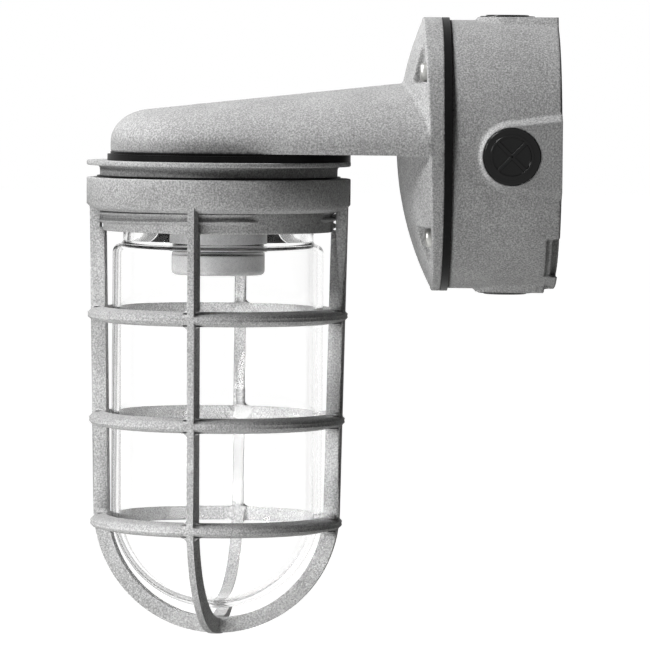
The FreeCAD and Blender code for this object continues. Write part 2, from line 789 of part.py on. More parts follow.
def globe_profile(inset):
    """Closed (radius, height) wire of the jar, inset by a wall; the round end is a quarter arc."""
    side = globe_r - inset
    neck = globe_neck_r - inset
    top = globe_rim + (past if inset else 0)
    shoulder = globe_shoulder - (globe_inner_shoulder if inset else 0)
    soft = globe_shoulder_round
    low = globe_dome_centre
    dome = Part.Arc(Vector(side, 0, low), Vector(side * cos(pi / 4), 0, low - side * sin(pi / 4)),
                    Vector(0, 0, low - side)).toShape()
    shoulder_arc = Part.Arc(Vector(side, 0, shoulder - soft),
                            Vector(side - soft * (1 - cos(pi / 4)), 0, shoulder - soft * (1 - sin(pi / 4))),
                            Vector(side - soft, 0, shoulder)).toShape()
    points = [Vector(side - soft, 0, shoulder), Vector(neck, 0, shoulder + globe_shoulder_slope),
              Vector(neck, 0, top), Vector(0, 0, top), Vector(0, 0, low - side)]
    lines = [Part.makeLine(points[i], points[i + 1]) for i in range(len(points) - 1)]
    straight = Part.makeLine(Vector(side, 0, low), Vector(side, 0, shoulder - soft))
    return Part.Wire(Part.sortEdges([dome, straight, shoulder_arc] + lines)[0])


def make_glass_globe():
    outside, inside = [Part.Face(globe_profile(inset)).revolve(Vector(0, 0, 0), Vector(0, 0, 1), 360)
                       for inset in (0, globe_wall)]
    jar = outside.cut(inside)
    ridge = helix_ridge(globe_neck_r, globe_neck_r + jar_thread_tall, jar_thread_base, jar_thread_crest,
                        jar_thread_turns)
    return on_lamp(jar.fuse(moved(ridge, z=jar_thread_low)))


# ---------------------------------------------------------------- guard

def guard_ball_r():
    """Radius of the domed end that the ribs' straight outer faces run into."""
    angle = radians(rib_draft)
    level = rib_top_r + (guard_bottom - collar_slope_end) * tan(angle)
    return level / (cos(angle) - (1 - sin(angle)) * tan(angle))


def rib_pair():
    """Two opposite ribs and the dome band between them, swept in the x-z plane."""
    angle = radians(rib_draft)
    ball_r = guard_ball_r()
    centre = guard_bottom + ball_r
    path_r = ball_r - rib_deep / 2
    touch = Vector(path_r * cos(angle), 0, centre - path_r * sin(angle))
    start_z = collar_low + rib_root_in
    start_x = touch.x + (start_z - touch.z) * tan(angle)
    start = Vector(start_x, 0, start_z)
    mirror = Vector(-touch.x, 0, touch.z)
    spine = Part.Wire([Part.makeLine(start, touch),
                       Part.Arc(touch, Vector(0, 0, centre - path_r), mirror).toShape(),
                       Part.makeLine(mirror, Vector(-start.x, 0, start.z))])
    outer = rib_deep / 2
    section = Part.Wire(rounded([(outer, -rib_outer_wide / 2), (outer, rib_outer_wide / 2),
                                 (-outer, rib_inner_wide / 2), (-outer, -rib_inner_wide / 2)]))
    section.rotate(Vector(0, 0, 0), Vector(0, 1, 0), -rib_draft)
    section.translate(start)
    return spine.makePipeShell([section], True, False)


def guard_ring(height):
    """Ring with a small double-edged nose, steep flanks and flatter slopes inward."""
    nose = rib_radius(height) + ring_proud
    inner = rib_radius(height) - rib_deep
    flank = nose - ring_flank_deep
    return turned([(nose, height + ring_nose_tall / 2, ring_edge_round),
                   (nose - ring_groove_deep, height),
                   (nose, height - ring_nose_tall / 2, ring_edge_round),
                   (flank, height - ring_flank_tall / 2), (inner, height - ring_inner_tall / 2),
                   (inner, height + ring_inner_tall / 2), (flank, height + ring_flank_tall / 2)])


def corner_fillets(height):
    """Rounded corners where a ring crosses the ribs, above and below it."""
    size = ring_corner_round
    near = size * (1 - sqrt(0.5))
    inner = rib_radius(height) - rib_deep
    shapes = []
    for up in (1, -1):
        edge = height + up * (ring_inner_tall / 2 - sunk)
        corner = Vector(inner, 0, edge)
        on_rib = Vector(inner, 0, edge + up * size)
        on_ring = Vector(inner, size, edge)
        curve = Part.Arc(on_ring, Vector(inner, near, edge + up * near), on_rib).toShape()
        outline = Part.Wire([Part.makeLine(on_rib, corner), Part.makeLine(corner, on_ring), curve])
        gusset = Part.Face(outline).extrude(Vector(rib_deep - ring_corner_short, 0, 0))
        mirrored = gusset.mirror(Vector(0, 0, 0), Vector(0, 1, 0))
        shapes.append(moved(gusset, y=rib_outer_wide / 2))
        shapes.append(moved(mirrored, y=-rib_outer_wide / 2))
    return shapes


def guard_collar():
    top_wall = collar_r - collar_chamfer
    return turned([(collar_bore_r, collar_top), (collar_r, collar_top, collar_edge_round),
                   (collar_r, collar_low), (top_wall, collar_low - collar_chamfer),
                   (collar_bore_r, collar_slope_end)])


def rib_teeth(angle):
    """Teeth on a rib's inner edge that run in the body's thread."""
    gap = turn_gap / cos(pi / 6)
    tip_half = (thread_pitch - thread_base_wide) / 2 - gap / 4
    base_half = (thread_pitch - thread_crest_wide) / 2 - gap
    root = collar_bore_r + sunk
    half = (rib_inner_wide + rib_outer_wide) / 4
    teeth = []
    for k in range(tooth_count):
        z = thread_crest_at(angle) + thread_pitch * (k + 0.5)
        tooth = turned([(rib_skirt_r, z - tip_half), (root, z - base_half),
                        (root, z + base_half), (rib_skirt_r, z + tip_half)])
        teeth.append(tooth.common(block((0, collar_r), (-half, half), (guard_bottom, 0))))
    return teeth


def make_cage_guard():
    pairs = [spun(rib_pair(), guard_turned + 360.0 / rib_count * k) for k in range(rib_count // 2)]
    rings = [guard_ring(height) for height in ring_heights]
    fillets = [spun(piece, angle) for height in ring_heights for piece in corner_fillets(height)
               for angle in rib_angles]
    boss = disc(guard_boss_r, guard_bottom - guard_boss_proud, guard_bottom + rib_deep + guard_boss_proud)
    body = joined([guard_collar(), boss] + pairs + rings + fillets)
    thread_room_end = thread_low_crest - thread_pitch / 2
    body = body.cut(disc(collar_bore_r, thread_room_end, 0))
    body = body.cut(disc(rib_skirt_r, skirt_end - rib_skirt_room, 0))
    teeth = [spun(tooth, angle) for angle in rib_angles for tooth in rib_teeth(angle)]
    body = joined([body] + teeth)
    hole = radial_rod(set_screw_r + screw_gap, collar_bore_r - past, collar_r + past, set_screw_height)
    return on_lamp(body.cut(spun(hole, set_screw_angle)))


def make_guard_set_screw():
    outer = collar_r - set_screw_sunk
    screw = radial_rod(set_screw_r, thread_crest_r + set_screw_back_off, outer, set_screw_height)
    socket = radial_rod(set_screw_socket_r, outer - set_screw_socket_deep, outer + past, set_screw_height)
    return on_lamp(spun(screw.cut(socket), set_screw_angle))


def make_guard_washer():
    inner = thread_root_r + turn_gap
    return on_lamp(ring(inner + guard_washer_wide, inner, collar_top, neck_end))


# ---------------------------------------------------------------- lampholder

def make_lampholder_body():
    """Porcelain: a terminal chamber above, the lamp shell's bore below."""
    body = turned([(chamber_r, plate_under), (holder_r, plate_under, holder_edge_round),
                   (holder_r, holder_seal_top, holder_edge_round), (holder_bore_r, holder_seal_top),
                   (holder_bore_r, web_end), (0, web_end), (0, chamber_end), (chamber_r, chamber_end)])
    low = holder_seal_top - past
    for side in (1, -1):
        x = side * holder_screw_x
        body = body.cut(disc(holder_screw_r + hole_gap, low, plate_under + past, x, 0))
        body = body.cut(disc(holder_screw_head_r + hole_gap, low, holder_screw_seat, x, 0))
        body = body.cut(disc(terminal_screw_r + screw_gap, web_end + terminal_floor, chamber_end + past,
                             side * terminal_x, 0))
    body = body.cut(disc(rivet_r, web_end - past, chamber_end + past, 0, rivet_y))
    return on_lamp(body)


def make_lampholder_seal():
    return on_lamp(ring(holder_seal_r, holder_bore_r, holder_seal_top - holder_seal_thick, holder_seal_top))


def make_lampholder_ring():
    top = holder_seal_top - holder_seal_thick
    return on_lamp(turned([(holder_bore_r, top), (holder_ring_r, top, holder_edge_round),
                           (holder_ring_r, holder_end, holder_end_round),
                           (holder_bore_r, holder_end, holder_mouth_round)]))


def make_screw_shell():
    low = holder_end + shell_mouth_in
    body = ring(shell_bore_r + shell_wall, shell_bore_r, low, shell_top)
    crown = disc(shell_bore_r + shell_wall, shell_top - shell_wall, shell_top)
    crown = crown.cut(disc(shell_bore_r - shell_crown_wide, shell_top - shell_wall - past, shell_top + past))
    return on_lamp(joined([body, crown]))


def make_centre_contact():
    """Riveted brass strip, sprung down toward the lamp's tip."""
    flat = web_end - contact_thick
    tip = web_end - contact_drop
    under = [(contact_back, flat), (contact_bend, flat), (-contact_bend, tip), (-contact_tip, tip),
             (-contact_tip - contact_curl, tip + contact_curl)]
    strip = under + [(y, z + contact_thick) for y, z in reversed(under)]
    wire = Part.makePolygon([Vector(-contact_wide / 2, y, z) for y, z in strip + strip[:1]])
    body = Part.Face(wire).extrude(Vector(contact_wide, 0, 0))
    rivet = disc(rivet_r, web_end - sunk, chamber_end, 0, rivet_y)
    rivet_head = disc(rivet_head_r, chamber_end, chamber_end + rivet_head_tall, 0, rivet_y)
    return on_lamp(joined([body, rivet, rivet_head]))


def small_screw(shank_r, head_r, head_tall, shank_long):
    """Screw with its head below z = 0 and its shank above."""
    head = pan_head(head_r, head_tall, small_slot_wide, small_slot_deep)
    head.rotate(Vector(0, 0, 0), Vector(1, 0, 0), 180)
    return head.fuse(disc(shank_r, -sunk, shank_long))


def make_lampholder_screws():
    long = plate_under + holder_screw_bite - holder_screw_end_room - holder_screw_seat
    screw = small_screw(holder_screw_r, holder_screw_head_r, holder_screw_head_tall, long)
    return Part.makeCompound([on_lamp(moved(screw, x, 0, holder_screw_seat))
                              for x in (holder_screw_x, -holder_screw_x)])


def make_terminal_screws():
    screw = pan_head(terminal_head_r, terminal_head_tall, small_slot_wide, small_slot_deep)
    screw = screw.fuse(disc(terminal_screw_r, terminal_floor + terminal_end_room - web_thick, sunk))
    return Part.makeCompound([on_lamp(moved(screw, x, 0, chamber_end)) for x in (terminal_x, -terminal_x)])


# ---------------------------------------------------------------- leads

def lead(points):
    """Round wire along straight runs joined by tangent arcs, each as large as its runs allow."""
    points = [Vector(*p) for p in points]
    edges = []
    last = points[0]
    radii = []
    for before, here, after in zip(points, points[1:], points[2:]):
        back = (before - here).normalize()
        on = (after - here).normalize()
        half = back.getAngle(on) / 2
        reach = lead_arc_share * min(before.distanceToPoint(here), here.distanceToPoint(after))
        arc_r = reach * tan(half)
        radii.append(round(arc_r, 1))
        middle = (back + on).normalize()
        arrive = here + back * reach
        leave = here + on * reach
        edges.append(Part.makeLine(last, arrive))
        edges.append(Part.Arc(arrive, here + middle * (arc_r / sin(half) - arc_r), leave).toShape())
        last = leave
    edges.append(Part.makeLine(last, points[-1]))
    path = Part.Wire(edges)
    start = Part.Wire(Part.makeCircle(lead_r, points[0], points[1] - points[0]))
    wire = path.makePipeShell([start], True, False)
    print("lead: length %.1f, volume over section times length %.4f, radii %s"
          % (path.Length, wire.Volume / (pi * lead_r ** 2 * path.Length), radii))
    return wire


def lamp_lead(side):
    """From a terminal up through the plate, along the arm and into the box."""
    x_end = side * lead_spread
    x_start = side * terminal_x
    rise = chamber_end + terminal_head_tall + turn_gap + lead_r
    return lead([(x_start, lamp_y - 5.0, rise), (side * 6.0, lamp_y - 0.5, rise + 5.5),
                 (x_end, lamp_y + 0.5, lead_height - 10.5), (x_end, lamp_y + 3.0, lead_height - 3.0),
                 (x_end, lamp_y + 17.0, lead_height + 1.5),
                 (x_end + side * 1.5, lamp_y + 45.0, lead_height - 1.5),
                 (x_end - side * 0.8, lamp_y + 86.0, lead_height + 3.5),
                 (x_end + side * 3.0, lead_box_end - 14.0, lead_height + 8.0),
                 (x_end + side * 8.0, lead_box_end, lead_height + 4.0)])


def make_lead_ground():
    out = -(ground_seat + pan_head_tall)
    x = ground_screw_x
    z = ground_screw_z
    return lead([(x + 3.8, out - lead_r - seat_gap, z), (x + 12.0, out - 6.0, z + 4.0),
                 (x + 20.0, out - 16.0, z + 3.0), (x + 28.0, out - 20.0, z + 12.0),
                 (x + 24.0, out - 12.0, z + 22.0)])


def make_ground_screw():
    screw = pan_head(pan_head_r, pan_head_tall, driver_slot_wide, driver_slot_deep)
    screw = screw.fuse(disc(ground_screw_r, -ground_screw_grip, sunk))
    return on_wall(moved(screw, ground_screw_x, ground_screw_z, ground_seat))


nodes = {
    "junction_box": make_junction_box(),
    "closure_plug_near": closure_plug(0),
    "closure_plug_top": closure_plug(90),
    "closure_plug_far": closure_plug(180),
    "closure_plug_bottom": closure_plug(270),
    "box_gasket": make_box_gasket(),
    "wall_bracket": make_wall_bracket(),
    "cover_screws": make_cover_screws(),
    "head_gasket": make_head_gasket(),
    "lamp_body": make_lamp_body(),
    "body_screws": make_body_screws(),
    "guard_washer": make_guard_washer(),
    "cage_guard": make_cage_guard(),
    "guard_set_screw": make_guard_set_screw(),
    "globe_gasket": make_globe_gasket(),
    "glass_globe": make_glass_globe(),
    "lampholder_body": make_lampholder_body(),
    "lampholder_seal": make_lampholder_seal(),
    "lampholder_ring": make_lampholder_ring(),
    "screw_shell": make_screw_shell(),
    "centre_contact": make_centre_contact(),
    "lampholder_screws": make_lampholder_screws(),
    "terminal_screws": make_terminal_screws(),
    "lead_black": lamp_lead(1),
    "lead_white": lamp_lead(-1),
    "lead_ground": make_lead_ground(),
    "ground_screw": make_ground_screw(),
}

for name, shape in nodes.items():
    shape.exportStep("parts/" + name + ".step")
    box = shape.BoundBox
    print("%-20s solids %d valid %s volume %9.1f  x %.1f %.1f  y %.1f %.1f  z %.1f %.1f"
          % (name, len(shape.Solids), shape.isValid(), shape.Volume,
             box.XMin, box.XMax, box.YMin, box.YMax, box.ZMin, box.ZMax))
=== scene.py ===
import json
from math import atan2, cos, degrees, pi, radians, sin, tan

import bmesh
import bpy
from mathutils import Matrix, Vector


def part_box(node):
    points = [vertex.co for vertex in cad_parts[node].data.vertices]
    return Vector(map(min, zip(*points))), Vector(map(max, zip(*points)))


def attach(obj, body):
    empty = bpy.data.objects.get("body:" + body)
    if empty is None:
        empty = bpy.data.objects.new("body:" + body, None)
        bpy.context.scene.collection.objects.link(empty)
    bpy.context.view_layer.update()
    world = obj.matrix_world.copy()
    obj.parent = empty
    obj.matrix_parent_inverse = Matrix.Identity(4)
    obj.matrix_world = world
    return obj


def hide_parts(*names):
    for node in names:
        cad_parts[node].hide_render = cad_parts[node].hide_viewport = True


mm = 0.001
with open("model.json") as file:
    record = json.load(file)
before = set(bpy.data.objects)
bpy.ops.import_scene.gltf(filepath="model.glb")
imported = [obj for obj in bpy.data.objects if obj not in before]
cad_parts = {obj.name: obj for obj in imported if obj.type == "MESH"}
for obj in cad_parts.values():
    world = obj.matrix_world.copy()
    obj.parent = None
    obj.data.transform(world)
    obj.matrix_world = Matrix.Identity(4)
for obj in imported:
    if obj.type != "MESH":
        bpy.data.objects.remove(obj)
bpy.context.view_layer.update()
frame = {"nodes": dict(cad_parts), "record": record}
nodes = frame["nodes"]
print("frame loaded:", len(nodes), "nodes")

# Centre line of the lamp, in mm: globe, guard and lampholder all turn about it
globeLow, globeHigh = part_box("glass_globe")
shellLow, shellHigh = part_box("screw_shell")
lampX = (globeLow.x + globeHigh.x) / 2 / mm
lampY = (shellLow.y / 2 + shellHigh.y / 2) / mm


# The camera stands far off, at the photograph's angle
camera = {"stand": (2.410, -0.1245, 0.040), "aim": (0.0, -0.0974, -0.0732),
          "lens": 313.9, "roll": 0.5, "sensor": 36.0, "reach": 60.0}


def placeCamera():
    data = bpy.data.cameras.new("camera")
    data.lens = camera["lens"]
    data.sensor_width = camera["sensor"]
    data.clip_end = camera["reach"]
    obj = bpy.data.objects.new("camera", data)
    obj.location = camera["stand"]
    toward = Vector(camera["aim"]) - obj.location
    roll = Matrix.Rotation(radians(camera["roll"]), 3, "Z")
    obj.rotation_euler = (toward.to_track_quat("-Z", "Y").to_matrix() @ roll).to_euler()
    bpy.context.scene.collection.objects.link(obj)
    bpy.context.scene.camera = obj


placeCamera()


def linear(hexText):
    channels = [int(hexText[i:i + 2], 16) / 255 for i in (1, 3, 5)]
    return tuple(c / 12.92 if c <= 0.04045 else ((c + 0.055) / 1.055) ** 2.4
                 for c in channels) + (1.0,)


def addNode(tree, kind, settings=None, inputs=None):
    node = tree.nodes.new(kind)
    for name, value in (settings or {}).items():
        setattr(node, name, value)
    for name, value in (inputs or {}).items():
        if isinstance(value, bpy.types.NodeSocket):
            tree.links.new(value, node.inputs[name])
        else:
            node.inputs[name].default_value = value
    return node


def newMaterial(name, rough, specular=0.5, metal=0.0):
    material = bpy.data.materials.new(name)
    material.use_nodes = True
    tree = material.node_tree
    shader = tree.nodes["Principled BSDF"]
    shader.inputs["Roughness"].default_value = rough
    shader.inputs["Specular IOR Level"].default_value = specular
    shader.inputs["Metallic"].default_value = metal
    return material, tree, shader


def addNoise(tree, sizeMm, detail, roughness=0.5):
    place = addNode(tree, "ShaderNodeTexCoord").outputs["Object"]
    noise = addNode(tree, "ShaderNodeTexNoise", {},
                    {"Vector": place, "Scale": 1 / (sizeMm * mm), "Detail": detail,
                     "Roughness": roughness})
    return noise.outputs["Fac"]


def addTone(tree, shader, height, stops):
    tone = addNode(tree, "ShaderNodeValToRGB", {}, {"Fac": height})
    elements = tone.color_ramp.elements
    elements[0].position, elements[0].color = stops[0]
    elements[1].position, elements[1].color = stops[-1]
    for position, colour in stops[1:-1]:
        elements.new(position).color = colour
    tree.links.new(tone.outputs["Color"], shader.inputs["Base Color"])


def addBump(tree, shader, height, strength, deepMm):
    bump = addNode(tree, "ShaderNodeBump", {},
                   {"Height": height, "Strength": strength, "Distance": deepMm * mm})
    tree.links.new(bump.outputs["Normal"], shader.inputs["Normal"])


paint = {"stops": ((0.36, "#7a7a7a"), (0.50, "#989898"), (0.64, "#bababa")),
         "grainMm": 0.72, "grainDetail": 3.0, "grainRough": 0.7,
         "driftMm": 18.0, "driftDetail": 2.0, "driftShare": 0.12,
         "bumpMm": 0.20, "bump": 1.0, "rough": 0.60, "specular": 0.04}


def makePaint():
    # Sand-textured silver powder coat on die-cast aluminium: a fine pebble of light and dark
    # grains, over a slow drift in tone
    material, tree, shader = newMaterial("sandTexturedPowderCoat", paint["rough"],
                                         paint["specular"])
    grain = addNoise(tree, paint["grainMm"], paint["grainDetail"], paint["grainRough"])
    drift = addNoise(tree, paint["driftMm"], paint["driftDetail"])
    mixed = addNode(tree, "ShaderNodeMix", {"data_type": "FLOAT"},
                    {"Factor": paint["driftShare"]})
    tree.links.new(grain, mixed.inputs["A"])
    tree.links.new(drift, mixed.inputs["B"])
    stops = [(position, linear(hexText)) for position, hexText in paint["stops"]]
    addTone(tree, shader, mixed.outputs["Result"], stops)
    addBump(tree, shader, grain, paint["bump"], paint["bumpMm"])
    return material


rubberSkin = {"stops": ((0.35, "#060606"), (0.70, "#101010")), "skinMm": 1.5, "detail": 3.0,
              "bumpMm": 0.05, "bump": 0.5, "rough": 0.42, "specular": 0.07}


def makeRubber():
    # Moulded nitrile rubber: matt black with a faint bloom
    material, tree, shader = newMaterial("mouldedNitrileRubber", rubberSkin["rough"],
                                         rubberSkin["specular"])
    skin = addNoise(tree, rubberSkin["skinMm"], rubberSkin["detail"])
    stops = [(position, linear(hexText)) for position, hexText in rubberSkin["stops"]]
    addTone(tree, shader, skin, stops)
    addBump(tree, shader, skin, rubberSkin["bump"], rubberSkin["bumpMm"])
    return material


glass = {"colour": "#ffffff", "rough": 0.0, "ior": 1.24}


def makeGlass():
    # Pressed soda-lime glass: clear, bending light less than the real one, for a pale shoulder
    material, tree, shader = newMaterial("pressedSodaLimeGlass", glass["rough"])
    shader.inputs["Base Color"].default_value = linear(glass["colour"])
    shader.inputs["Transmission Weight"].default_value = 1.0
    shader.inputs["IOR"].default_value = glass["ior"]
    return material


mottled = {"sizeMm": 1.2, "detail": 3.0, "from": 0.35, "to": 0.65, "bumpMm": 0.03, "bump": 0.4}


def makePlain(name, hexText, rough, metal, speckle, specular=0.5):
    # One tone with a fine mottle, for the small parts
    material, tree, shader = newMaterial(name, rough, specular, metal)
    mottle = addNoise(tree, mottled["sizeMm"], mottled["detail"])
    base = linear(hexText)[:3]
    darker = tuple(c * (1 - speckle) for c in base) + (1.0,)
    lighter = tuple(min(1.0, c * (1 + speckle)) for c in base) + (1.0,)
    addTone(tree, shader, mottle, [(mottled["from"], darker), (mottled["to"], lighter)])
    addBump(tree, shader, mottle, mottled["bump"], mottled["bumpMm"])
    return material


# Name, colour, roughness, metal, speckle and, where it isn't plain, specular of each small part
plainLooks = {
    "black_plug": ("mouldedBlackNylon", "#050505", 0.18, 0.0, 0.10, 0.22),
    "grey_porcelain": ("greyGlazedPorcelain", "#8c8c8c", 0.40, 0.0, 0.10, 0.35),
    "steel_screw": ("zincPlatedSteel", "#b9b9b6", 0.36, 1.0, 0.10),
    "dark_screw": ("blackOxideSteel", "#1c1c1c", 0.45, 0.6, 0.15),
    "brass": ("pressedBrass", "#c9a557", 0.32, 1.0, 0.08),
    "green_screw": ("greenChromateSteel", "#2b7a45", 0.40, 0.6, 0.12),
    "black_lead": ("blackWireInsulation", "#161616", 0.42, 0.0, 0.10),
    "white_lead": ("whiteWireInsulation", "#d9d7cf", 0.42, 0.0, 0.05),
    "green_lead": ("greenWireInsulation", "#1f7a3d", 0.42, 0.0, 0.08)}

bySlot = {"painted_casting": makePaint(), "black_rubber": makeRubber(), "clear_glass": makeGlass()}
for slot, look in plainLooks.items():
    bySlot[slot] = makePlain(*look)
slotOf = {entry["node"]: entry["material_slot"] for entry in frame["record"]["subparts"]}
for name, obj in nodes.items():
    obj.data.materials.clear()
    obj.data.materials.append(bySlot[slotOf[name]])
print("materials made:", len(bySlot))


# The window lights from the left, the softbox from above, and the card lifts what faces down
stage = {"floorZ": -0.300, "floorSize": 24.0, "floor": "#a0a09e", "floorRough": 0.9,
         "floorGlow": 0.925, "ambient": 0.04, "white": 1.0}
lamps = {"window": {"kind": "SUN", "stand": (0.34, -0.86, 0.36), "aim": (0, 0, 0),
                    "power": 1.9, "spread": 12.0, "mirrored": True},
         "softbox": {"kind": "AREA", "stand": (0.05, -0.42, 0.50), "aim": (0, -0.13, -0.02),
                     "power": 5.0, "size": 0.24, "mirrored": True},
         "card": {"kind": "AREA", "stand": (0.22, -0.27, -0.20), "aim": (0, -0.02, -0.04),
                  "power": 0.75, "size": 0.18, "mirrored": False}}


def seenWhite(tree):
    # 1 where the camera, a reflection or the glass looks straight at the background
    paths = addNode(tree, "ShaderNodeLightPath")
    seen = paths.outputs["Is Camera Ray"]
    for ray in ("Is Glossy Ray", "Is Transmission Ray"):
        either = addNode(tree, "ShaderNodeMath", {"operation": "MAXIMUM"})
        tree.links.new(seen, either.inputs[0])
        tree.links.new(paths.outputs[ray], either.inputs[1])
        seen = either.outputs[0]
    return seen


def makeWorld():
    world = bpy.data.worlds.new("studio")
    world.use_nodes = True
    tree = world.node_tree
    tree.nodes.clear()
    room = addNode(tree, "ShaderNodeBackground", {},
                   {"Color": (1, 1, 1, 1), "Strength": stage["ambient"]})
    white = addNode(tree, "ShaderNodeBackground", {},
                    {"Color": (1, 1, 1, 1), "Strength": stage["white"]})
    mix = addNode(tree, "ShaderNodeMixShader", {}, {"Fac": seenWhite(tree)})
    tree.links.new(room.outputs[0], mix.inputs[1])
    tree.links.new(white.outputs[0], mix.inputs[2])
    addNode(tree, "ShaderNodeOutputWorld", {}, {"Surface": mix.outputs[0]})
    bpy.context.scene.world = world


def makeFloor():
    material, tree, shader = newMaterial("paleFloor", stage["floorRough"], 0.0)
    shader.inputs["Base Color"].default_value = linear(stage["floor"])
    glow = addNode(tree, "ShaderNodeMath", {"operation": "MULTIPLY"})
    tree.links.new(seenWhite(tree), glow.inputs[0])
    glow.inputs[1].default_value = stage["floorGlow"]
    shader.inputs["Emission Color"].default_value = (1, 1, 1, 1)
    tree.links.new(glow.outputs[0], shader.inputs["Emission Strength"])
    bm = bmesh.new()
    bmesh.ops.create_grid(bm, x_segments=1, y_segments=1, size=stage["floorSize"] / 2)
    bmesh.ops.translate(bm, verts=bm.verts, vec=(0, 0, stage["floorZ"]))
    mesh = bpy.data.meshes.new("floor")
    bm.to_mesh(mesh)
    bm.free()
    floor = bpy.data.objects.new("floor", mesh)
    floor.data.materials.append(material)
    bpy.context.scene.collection.objects.link(floor)


def addLamp(name, lamp):
    data = bpy.data.lights.new(name, lamp["kind"])
    data.energy = lamp["power"]
    if lamp["kind"] == "SUN":
        data.angle = radians(lamp["spread"])
    else:
        data.shape = "DISK"
        data.size = lamp["size"]
    obj = bpy.data.objects.new(name, data)
    obj.location = lamp["stand"]
    obj.visible_glossy = lamp["mirrored"]
    toward = Vector(lamp["aim"]) - obj.location
    obj.rotation_euler = toward.to_track_quat("-Z", "Y").to_euler()
    bpy.context.scene.collection.objects.link(obj)


makeWorld()
makeFloor()
for name, lamp in lamps.items():
    addLamp(name, lamp)
bpy.context.scene.view_settings.view_transform = "Standard"
print("stage set")


def softened(corners, segments):
    # Outline of (across, up, radius) corners, each given radius turned into an arc
    points = [Vector(c[:2]) for c in corners]
    outline = []
    for i, corner in enumerate(corners):
        here = points[i]
        radius = corner[2] if len(corner) > 2 else 0
        if not radius:
            outline.append(here)
            continue
        back = (points[i - 1] - here).normalized()
        on = (points[(i + 1) % len(points)] - here).normalized()
        half = back.angle(on) / 2
        centre = here + (back + on).normalized() * (radius / sin(half))
        start = here + back * (radius / tan(half)) - centre
        end = here + on * (radius / tan(half)) - centre
        sweep = start.angle_signed(end)
        for step in range(segments + 1):
            spoke = start.copy()
            spoke.rotate(Matrix.Rotation(-sweep * step / segments, 2))
            outline.append(centre + spoke)
    return outline


def spunShell(corners, steps, segments=4):
    # Closed shell of revolution about z, in mm, from an outline of (radius, height) corners
    bm = bmesh.new()
    verts = [bm.verts.new((p.x, 0, p.y)) for p in softened(corners, segments)]
    edges = [bm.edges.new(pair) for pair in zip(verts, verts[1:] + verts[:1])]
    bmesh.ops.spin(bm, geom=verts + edges, cent=(0, 0, 0), axis=(0, 0, 1), dvec=(0, 0, 0),
                   angle=2 * pi, steps=steps, use_merge=True, use_normal_flip=False,
                   use_duplicate=False)
    tidyShell(bm)
    return bm


def tidyShell(bm, nearMm=1e-4, flatMm=1e-5):
    bmesh.ops.remove_doubles(bm, verts=bm.verts[:], dist=nearMm)
    bmesh.ops.dissolve_degenerate(bm, edges=bm.edges[:], dist=flatMm)
    bmesh.ops.recalc_face_normals(bm, faces=bm.faces[:])


def addShell(bm, other):
    # Puts another closed shell into the same piece
    mesh = bpy.data.meshes.new("shell")
    other.to_mesh(mesh)
    other.free()
    bm.from_mesh(mesh)
    bpy.data.meshes.remove(mesh)


def turnShell(bm, angle):
    turn = Matrix.Rotation(radians(angle), 3, "Z")
    bmesh.ops.rotate(bm, verts=bm.verts[:], cent=(0, 0, 0), matrix=turn)


def makePiece(name, bm, material, body, replaced, scale=mm, creaseAngle=None):
    if scale != 1:
        bmesh.ops.scale(bm, vec=(scale, scale, scale), verts=bm.verts[:])
    mesh = bpy.data.meshes.new(name)
    bm.to_mesh(mesh)
    bm.free()
    mesh.materials.append(material)
    mesh.shade_smooth()
    if creaseAngle:
        mesh.set_sharp_from_angle(angle=radians(creaseAngle))
    obj = bpy.data.objects.new(name, mesh)
    bpy.context.scene.collection.objects.link(obj)
    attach(obj, body)
    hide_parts(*replaced)
    return obj


onLamp = Matrix.Translation((lampX, lampY, 0))


# Castings are copies of the solids: two with the soft corners that a die and its paint leave,
# and the guard with its crisp rings
softArm = {"name": "armAndCover", "node": "wall_bracket", "body": "fixture",
           "voxelMm": 0.55, "passes": 1, "cornerPasses": 14, "mostFaces": 190000}
softBox = {"name": "junctionBoxCasting", "node": "junction_box", "body": "fixture",
           "voxelMm": 0.55, "passes": 1, "cornerPasses": 12, "mostFaces": 190000}
crispGuard = {"name": "guardCasting", "node": "cage_guard", "body": "guard", "creaseAngle": 28}
smoothing = {"factor": 0.5, "hollowShare": 0.07, "rings": 2}


def mergedCopy(node, nearM=1e-6):
    bm = bmesh.new()
    bm.from_mesh(nodes[node].data)
    bmesh.ops.remove_doubles(bm, verts=bm.verts[:], dist=nearM)
    return bm


def settle(obj):
    # The object keeps what its modifiers make of it, as its own mesh
    bpy.context.view_layer.update()
    graph = bpy.context.evaluated_depsgraph_get()
    obj.data = bpy.data.meshes.new_from_object(obj.evaluated_get(graph))
    obj.modifiers.clear()


def addSmoothing(obj, passes, group=""):
    smooth = obj.modifiers.new("smooth", "SMOOTH")
    smooth.factor = smoothing["factor"]
    smooth.iterations = passes
    smooth.vertex_group = group


def markHollows(obj, size):
    # Inside corners get the fillet of the casting: only points in a hollow are in the group
    bm = bmesh.new()
    bm.from_mesh(obj.data)
    bm.normal_update()
    hollow = set()
    for vert in bm.verts:
        around = [edge.other_vert(vert).co for edge in vert.link_edges]
        middle = sum(around, Vector()) / len(around)
        if (middle - vert.co).dot(vert.normal) > size * smoothing["hollowShare"]:
            hollow.add(vert.index)
    bm.verts.ensure_lookup_table()
    for _ in range(smoothing["rings"]):
        hollow |= {edge.other_vert(bm.verts[i]).index
                   for i in hollow for edge in bm.verts[i].link_edges}
    bm.free()
    obj.vertex_groups.new(name="corners").add(sorted(hollow), 1.0, "REPLACE")


